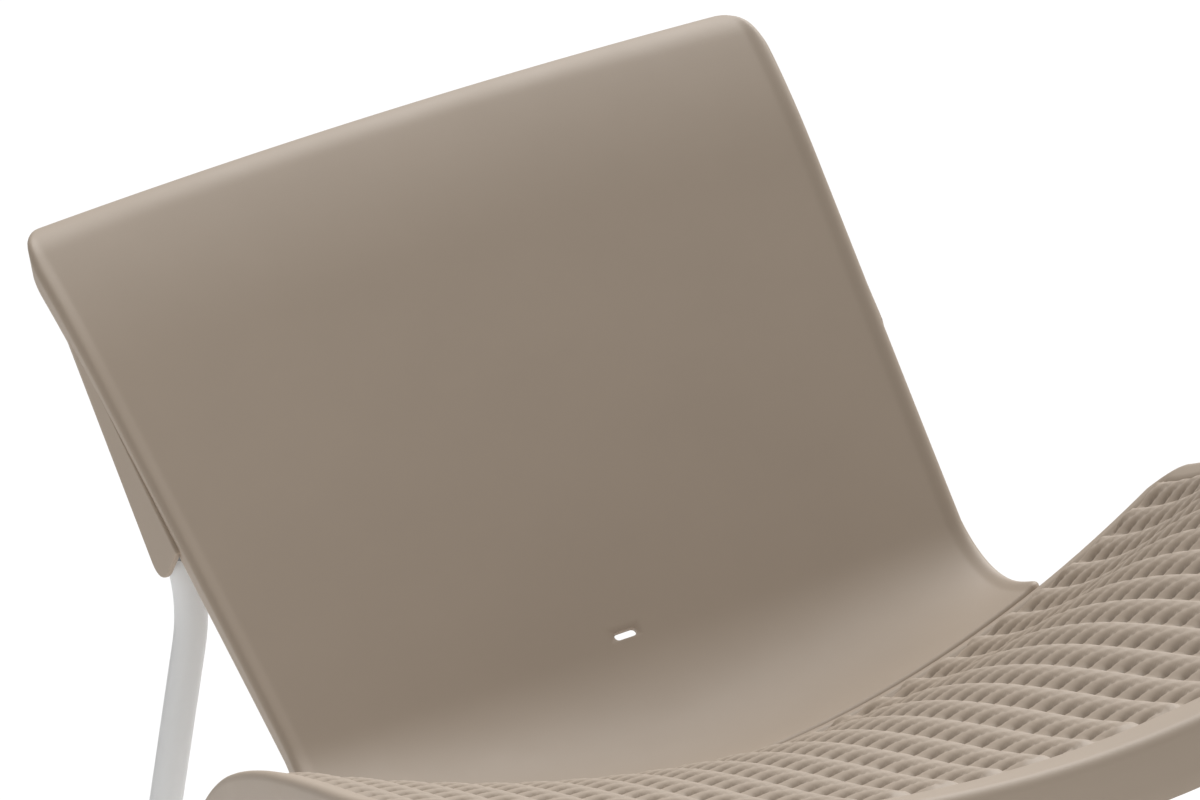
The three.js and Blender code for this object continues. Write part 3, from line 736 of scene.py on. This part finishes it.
class LOUNGER_OT_seat_body(bpy.types.Operator):
    """Makes the seat's moulded body: smooth borders, rolled edge and skirt"""

    bl_idname = "lounger.seat_body"
    bl_label = "Seat Body"

    def execute(self, context):
        weave = context.scene.lounger_weave
        border = (SEAT_HALF - weave_box(weave)[0]) / MM

        def surface(x, s, rise):
            return seat_point(x, s, rise - 4 * MM * inside_weave(weave, x, s, 6 * MM))

        start = EDGE_ROUND / MM
        across = spread(
            [(start, 1), (border - 2, 6), (border + 8, 2), (SEAT_HALF / MM, 16)]
        )
        length = SEAT.length / MM
        foot = weave.foot_border / MM
        along = spread(
            [
                (start, 1),
                (12, 2),
                (45, 5),
                (foot - 2, 8),
                (foot + 8, 2),
                (length - 60, 14),
                (length - start, 2),
            ]
        )
        bm = bmesh.new()
        corners = (SEAT_CORNER, SEAT_CORNER)
        moulded_sheet(
            bm,
            across,
            along,
            lambda s: SEAT_HALF,
            corners,
            SEAT.length,
            surface,
            seat_skirt,
            EDGE_ROUND,
        )
        material = material_for(TAUPE_SLOT)
        body = piece_from(bm, "seat_body", SEAT_BODY, material, ["seat_shell"])
        add_wall(body, WALL)
        soften_edges(body, 0.9 * MM)
        return {"FINISHED"}


class LOUNGER_OT_seat_weave(bpy.types.Operator):
    """Makes the rope weave that is moulded into the seat"""

    bl_idname = "lounger.seat_weave"
    bl_label = "Seat Weave"

    def execute(self, context):
        weave = context.scene.lounger_weave
        half, first, last = weave_box(weave)
        columns = weave.rows * 8
        rows = round((last - first) / weave.strand_pitch * 9)
        bm = bmesh.new()
        # This layer carries the painted shade of the weave's grooves and dimples to the material.
        painted_hollow_shade = bm.verts.layers.float.new("painted_hollow_shade")
        grid = bmesh.ops.create_grid(bm, x_segments=columns, y_segments=rows, size=1)
        for vert in grid["verts"]:
            x = vert.co.x * half
            s = mix(first, last, (vert.co.y + 1) / 2)
            edge = inside_weave(weave, x, s, 9 * MM)
            height, depth = strand_height(weave, x, s)
            # Painted shade of the grooves and dimples, faded out towards the weave's border.
            vert[painted_hollow_shade] = depth * edge
            rise = mix(-2.4 * MM, height, edge)
            vert.co = seat_point(x, s, rise)
        material = material_for(TAUPE_SLOT)
        piece = piece_from(bm, "seat_weave", SEAT_BODY, material)
        add_wall(piece, WEAVE_WALL, even=False)
        return {"FINISHED"}


# ---- Backrest ---------------------------------------------------------------------------


class LOUNGER_OT_backrest(bpy.types.Operator):
    """Makes the backrest's panel, with its lip, rolled top, edge bead and drain slot"""

    bl_idname = "lounger.backrest"
    bl_label = "Backrest"

    def execute(self, context):
        panel = context.scene.lounger_panel

        def surface(x, s, rise):
            from_side = back_half(s) - abs(x) - BACK_EDGE
            bead = panel.bead * (1 - smooth(from_side / panel.bead_width))
            return back_point(x, s, rise + bead - panel.bead)

        start = BACK_EDGE / MM
        across = spread([(start, 1), (20, 1.5), (40, 5), (BACK_HALF / MM, 14)])
        length = BACK.length / MM
        along = spread(
            [
                (start, 1),
                (14, 2),
                (LIP_LENGTH / MM, 7),
                (PANEL_TOP / MM, 14),
                (length - 45, 4),
                (length - 12, 4),
                (length - start, 2),
            ]
        )
        bm = bmesh.new()
        corners = (LIP_CORNER, BACK_CORNER)
        moulded_sheet(
            bm, across, along, back_half, corners, BACK.length, surface, back_skirt, BACK_EDGE
        )
        material = material_for(TAUPE_SLOT)
        piece = piece_from(
            bm, "backrest_panel", BACK_BODY, material, ["backrest_shell"]
        )
        add_wall(piece, WALL)
        cutter = self.slot_cutter(panel)
        cut = piece.modifiers.new("Slot", "BOOLEAN")
        cut.operation = "DIFFERENCE"
        cut.object = cutter
        cut.solver = "EXACT"
        apply_modifiers(piece)
        bpy.data.objects.remove(cutter)
        soften_edges(piece, 0.8 * MM)
        return {"FINISHED"}

    def slot_cutter(self, panel):
        """A round-ended block through the panel at the slot."""
        bm = bmesh.new()
        disc = bmesh.ops.create_circle(
            bm, cap_ends=True, segments=32, radius=panel.slot_width / 2
        )["verts"]
        end = (panel.slot_length - panel.slot_width) / 2
        for vert in disc:
            vert.co.x += math.copysign(end, vert.co.x)
        bmesh.ops.translate(bm, verts=disc, vec=(0, 0, -20 * MM))
        made = bmesh.ops.extrude_face_region(bm, geom=bm.faces[:])["geom"]
        tops = [vert for vert in made if isinstance(vert, bmesh.types.BMVert)]
        bmesh.ops.translate(bm, verts=tops, vec=(0, 0, 40 * MM))
        bmesh.ops.recalc_face_normals(bm, faces=bm.faces)
        turn = Matrix.Rotation(BACK_ANGLE, 4, "X")
        place = Matrix.Translation(panel_point(0, panel.slot_height, 0)) @ turn
        bmesh.ops.transform(bm, matrix=place, verts=bm.verts)
        mesh = bpy.data.meshes.new("slot cutter")
        bm.to_mesh(mesh)
        bm.free()
        cutter = bpy.data.objects.new("slot cutter", mesh)
        bpy.context.scene.collection.objects.link(cutter)
        return cutter


def cheek_face(up):
    """Distance of a cheek's outer face from the middle, up the panel."""
    flare = CHEEK_FLARE * (CHEEK_TOP - up) / (CHEEK_TOP - CHEEK_LOW)
    return BACK_HALF + BACK_TAPER * up + flare


class LOUNGER_OT_cheeks(bpy.types.Operator):
    """Makes the two cheeks behind the backrest's edges, open to the rear and below"""

    bl_idname = "lounger.cheeks"
    bl_label = "Leg Cheeks"

    def execute(self, context):
        for side, sign in (("left", -1), ("right", 1)):
            bm = bmesh.new()
            bmesh.ops.create_cube(bm, size=2)
            front = BACK_DISH - CHEEK_SET_BACK
            for vert in bm.verts:
                high = vert.co.y > 0
                up = CHEEK_TOP if high else CHEEK_LOW
                back = BACK_DISH - (BACK_SKIRT if high else CHEEK_DEPTH)
                out = front if vert.co.z > 0 else back
                inner = CHEEK_WIDTH if vert.co.x < 0 else 0
                lean = 0 if high or inner else CHEEK_LEAN * (front - out - LEAN_AXIS)
                vert.co = panel_point(sign * (cheek_face(up) - inner + lean), up, out)
            bm.normal_update()
            bmesh.ops.recalc_face_normals(bm, faces=bm.faces)
            self.round_corners(bm)
            bm.normal_update()
            outermost = max(bm.faces, key=lambda face: sign * face.calc_center_median().x)
            if sign * outermost.normal.x < 0:
                bmesh.ops.reverse_faces(bm, faces=bm.faces)
                bm.normal_update()
            open_faces = [face for face in bm.faces if self.is_open(face, front)]
            bmesh.ops.delete(bm, geom=open_faces, context="FACES")
            material = material_for(TAUPE_SLOT)
            piece = piece_from(bm, f"leg_cheek_{side}", BACK_BODY, material, (), False)
            add_wall(piece, CHEEK_WALL)
            soften_edges(piece, 1.2 * MM)
        return {"FINISHED"}

    def is_open(self, face, front):
        """The channel's rear and its foot: all but its sides, its front and its top."""
        if abs(face.normal.x) > 0.5:
            return False
        turn = Matrix.Rotation(-BACK_ANGLE, 3, "X")
        places = [turn @ (vert.co - panel_point(0, 0, 0)) for vert in face.verts]
        at_front = all(place.z > front - 1 * MM for place in places)
        at_top = all(place.y > CHEEK_TOP - 1 * MM for place in places)
        return not at_front and not at_top

    def round_corners(self, bm):
        """Rounds the rear corner at the cheek's foot."""
        bm.edges.ensure_lookup_table()

        def depth(edge):
            middle = (edge.verts[0].co + edge.verts[1].co) / 2
            local = Matrix.Rotation(-BACK_ANGLE, 3, "X") @ (middle - panel_point(0, 0, 0))
            along_x = abs(edge.verts[0].co.x - edge.verts[1].co.x) > 20 * MM
            return (0 if along_x else 1, local.y + local.z)

        corner = min(bm.edges, key=depth)
        bmesh.ops.bevel(
            bm,
            geom=[corner],
            offset=CHEEK_ROUND,
            segments=8,
            profile=0.5,
            affect="EDGES",
            material=-1,
        )


# ---- Tubes ------------------------------------------------------------------------------


def straight_ends(node):
    """The two ends of a straight CAD tube's centre line."""
    points = [vert.co.copy() for vert in frame["nodes"][node].data.vertices]
    centre = sum(points, Vector()) / len(points)
    far = max(points, key=lambda p: (p - centre).length)
    way = (far - centre).normalized()
    for _ in range(3):
        reach = [(p - centre).dot(way) for p in points]
        low, high = min(reach), max(reach)
        ends = []
        for limit in (low, high):
            near = [p for p, r in zip(points, reach) if abs(r - limit) < 4 * MM]
            ends.append(sum(near, Vector()) / len(near))
        way = (ends[1] - ends[0]).normalized()
    return ends


def rail_path(sign):
    """Centre line of a rail: it keeps a set distance under the seat."""
    count = 40
    last = SEAT.length - RAIL_HIP_MARGIN
    stations = [mix(RAIL_FOOT_MARGIN, last, i / count) for i in range(count + 1)]
    rise = seat_dish(RAIL_SPREAD) - RAIL_DROP
    return [SEAT.off(s, sign * RAIL_SPREAD, rise) for s in stations]


def rear_leg_path(sign):
    """Centre line of a rear leg: straight at its pivot, then bent outwards."""
    pivot_x = cheek_face(PIVOT_HEIGHT) - CHEEK_WIDTH / 2
    down = Vector((0, math.sin(LEG_TILT), -math.cos(LEG_TILT)))
    reach = PIVOT.z / math.cos(LEG_TILT)
    bend_end = LEG_BEND_START + LEG_BEND
    stops = [
        (LEG_TOP / MM, 1),
        (LEG_BEND_START / MM, 14),
        (bend_end / MM, 5),
        ((reach - LEG_SOLE) / MM, 60),
    ]
    points = []
    for distance in spread(stops):
        bent = min(max(distance - LEG_BEND_START, 0), LEG_BEND)
        past = max(distance - bend_end, 0)
        outwards = pivot_x + math.tan(LEG_SPLAY) * (bent**2 / (2 * LEG_BEND) + past)
        points.append(Vector((sign * outwards, PIVOT.y, PIVOT.z)) + down * distance)
    return points


class LOUNGER_OT_tubes(bpy.types.Operator):
    """Makes the round tubes of the underframe and the rear legs"""

    bl_idname = "lounger.tubes"
    bl_label = "Tubes"

    def execute(self, context):
        tubes = []
        for side, sign in (("left", -1), ("right", 1)):
            tubes.append((f"rail_{side}", SEAT_BODY, rail_path(sign), TUBE))
            tubes.append((f"rear_leg_{side}", LEG_BODY, rear_leg_path(sign), SLIM_TUBE))
            for place in ("front", "hip"):
                node = f"{place}_leg_{side}"
                tubes.append((node, SEAT_BODY, straight_ends(node), TUBE))
        for node, body in (
            ("cross_tube_front", SEAT_BODY),
            ("cross_tube_hip", SEAT_BODY),
            ("rear_cross_bar", LEG_BODY),
        ):
            low, high = (Vector(corner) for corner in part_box(node))
            middle = (low + high) / 2
            ends = [Vector((x, middle.y, middle.z)) for x in (low.x, high.x)]
            tubes.append((node, body, ends, SLIM_TUBE))
        for node, body, points, diameter in tubes:
            bm = bmesh.new()
            swept_tube(bm, points, diameter)
            piece_from(
                bm, f"{node}_tube", body, material_for(TUBE_SLOT), [node]
            )
        return {"FINISHED"}


# ---- CAD nodes that keep their shape ----------------------------------------------------


def rounding_group():
    """Geometry nodes that shade a surface smooth except at its sharp edges."""
    group = bpy.data.node_groups.new("shade round", "GeometryNodeTree")
    group.interface.new_socket("Geometry", in_out="INPUT", socket_type="NodeSocketGeometry")
    group.interface.new_socket("Geometry", in_out="OUTPUT", socket_type="NodeSocketGeometry")
    start = add_node(group, "NodeGroupInput")
    faces = add_node(
        group, "GeometryNodeSetShadeSmooth", inputs={"Geometry": start.outputs["Geometry"]}
    )
    angle = add_node(group, "GeometryNodeInputMeshEdgeAngle")
    sharp = add_node(
        group,
        "FunctionNodeCompare",
        {"operation": "LESS_THAN"},
        {0: angle.outputs["Unsigned Angle"], 1: math.radians(34)},
    )
    edges = add_node(
        group,
        "GeometryNodeSetShadeSmooth",
        {"domain": "EDGE"},
        {"Geometry": faces.outputs["Geometry"], "Shade Smooth": sharp.outputs["Result"]},
    )
    add_node(group, "NodeGroupOutput", inputs={"Geometry": edges.outputs["Geometry"]})
    return group


class LOUNGER_OT_fittings(bpy.types.Operator):
    """Finishes the caps, clamps, plates, pins and screws"""

    bl_idname = "lounger.fittings"
    bl_label = "Fittings"

    def execute(self, context):
        slots = {part["node"]: part["material_slot"] for part in frame["record"]["subparts"]}
        group = rounding_group()
        for name, node in frame["nodes"].items():
            if node.hide_render or slots[name] == TAUPE_SLOT:
                continue
            for material_slot in node.material_slots:
                material_slot.material = material_for(slots[name])
            weld = node.modifiers.new("Weld", "WELD")
            weld.merge_threshold = 0.01 * MM
            soften_edges(node, 0.5 * MM)
            shade = node.modifiers.new("Shade", "NODES")
            shade.node_group = group
        return {"FINISHED"}


# ---- Stage ------------------------------------------------------------------------------


class LOUNGER_OT_stage(bpy.types.Operator):
    """Sets the pale floor, the soft light and the camera"""

    bl_idname = "lounger.stage"
    bl_label = "Stage"

    def execute(self, context):
        stage = context.scene.lounger_stage
        self.floor()
        self.surround(context.scene, stage)
        self.key(stage.key, (0.5, 0.4, 0.77))
        self.softbox("left softbox", (-2.6, -1.6, 1.7), 1.8, stage.fill)
        self.camera(context.scene, stage)
        return {"FINISHED"}

    def floor(self):
        bm = bmesh.new()
        bmesh.ops.create_grid(bm, x_segments=1, y_segments=1, size=600)
        mesh = bpy.data.meshes.new("floor")
        bm.to_mesh(mesh)
        bm.free()
        floor = bpy.data.objects.new("floor", mesh)
        bpy.context.scene.collection.objects.link(floor)
        material, tree, shader, place = new_material("painted floor")
        shades = linear("#fcfcfc"), linear("#fbfbfb")
        tree.links.new(mottled(tree, place, 0.7, *shades), shader.inputs["Base Color"])
        shader.inputs["Roughness"].default_value = 0.9
        mesh.materials.append(material)

    def surround(self, scene, stage):
        scene.world = bpy.data.worlds.new("white surround")
        scene.world.use_nodes = True
        background = scene.world.node_tree.nodes["Background"]
        background.inputs["Color"].default_value = (1, 1, 1, 1)
        background.inputs["Strength"].default_value = stage.ambient
        scene.view_settings.view_transform = "Standard"

    def key(self, strength, way):
        """A broad light from far above, to the right."""
        light = bpy.data.lights.new("key light", "SUN")
        light.energy = strength
        light.angle = math.radians(55)
        lamp = bpy.data.objects.new("key light", light)
        lamp.rotation_euler = (-Vector(way)).to_track_quat("-Z", "Y").to_euler()
        bpy.context.scene.collection.objects.link(lamp)

    def softbox(self, name, place, size, power):
        light = bpy.data.lights.new(name, "AREA")
        light.shape = "SQUARE"
        light.size = size
        light.energy = power
        lamp = bpy.data.objects.new(name, light)
        lamp.location = place
        aim = Vector((0, 0.1, 0.45)) - lamp.location
        lamp.rotation_euler = aim.to_track_quat("-Z", "Y").to_euler()
        bpy.context.scene.collection.objects.link(lamp)

    def camera(self, scene, stage):
        data = bpy.data.cameras.new("camera")
        data.lens = stage.lens
        data.sensor_width = 36
        camera = bpy.data.objects.new("camera", data)
        scene.collection.objects.link(camera)
        heading = Matrix.Rotation(-stage.azimuth, 4, "Z")
        tilt = Matrix.Rotation(math.pi / 2 - stage.pitch, 4, "X")
        lean = Matrix.Rotation(-stage.roll, 4, "Z")
        place = Vector((-0.856, HINGE.y - 3.469, 0.958))
        camera.matrix_world = Matrix.Translation(place) @ heading @ tilt @ lean
        scene.camera = camera


# ---- Panel and registration -------------------------------------------------------------


class LOUNGER_PT_panel(bpy.types.Panel):
    """Lists the lounger's pieces and their settings"""

    bl_label = "Lounger"
    bl_idname = "LOUNGER_PT_panel"
    bl_space_type = "VIEW_3D"
    bl_region_type = "UI"
    bl_category = "Lounger"

    def draw(self, context):
        layout = self.layout
        for holder in SETTINGS:
            box = layout.box()
            settings = getattr(context.scene, holder)
            for name in settings.__annotations__:
                box.prop(settings, name)
        for operator in OPERATORS:
            layout.operator(operator.bl_idname)


SETTINGS = {
    "lounger_weave": WeaveSettings,
    "lounger_panel": PanelSettings,
    "lounger_finish": FinishSettings,
    "lounger_stage": StageSettings,
}
OPERATORS = (
    LOUNGER_OT_seat_body,
    LOUNGER_OT_seat_weave,
    LOUNGER_OT_backrest,
    LOUNGER_OT_cheeks,
    LOUNGER_OT_tubes,
    LOUNGER_OT_fittings,
    LOUNGER_OT_stage,
)


def register():
    for cls in (*SETTINGS.values(), *OPERATORS, LOUNGER_PT_panel):
        bpy.utils.register_class(cls)
    for name, cls in SETTINGS.items():
        setattr(bpy.types.Scene, name, bpy.props.PointerProperty(type=cls))


def unregister():
    for name in SETTINGS:
        delattr(bpy.types.Scene, name)
    for cls in reversed((*SETTINGS.values(), *OPERATORS, LOUNGER_PT_panel)):
        bpy.utils.unregister_class(cls)


def main():
    register()
    bpy.ops.lounger.seat_body()
    bpy.ops.lounger.seat_weave()
    bpy.ops.lounger.backrest()
    bpy.ops.lounger.cheeks()
    bpy.ops.lounger.tubes()
    bpy.ops.lounger.fittings()
    bpy.ops.lounger.stage()


if __name__ == "__main__":
    main()
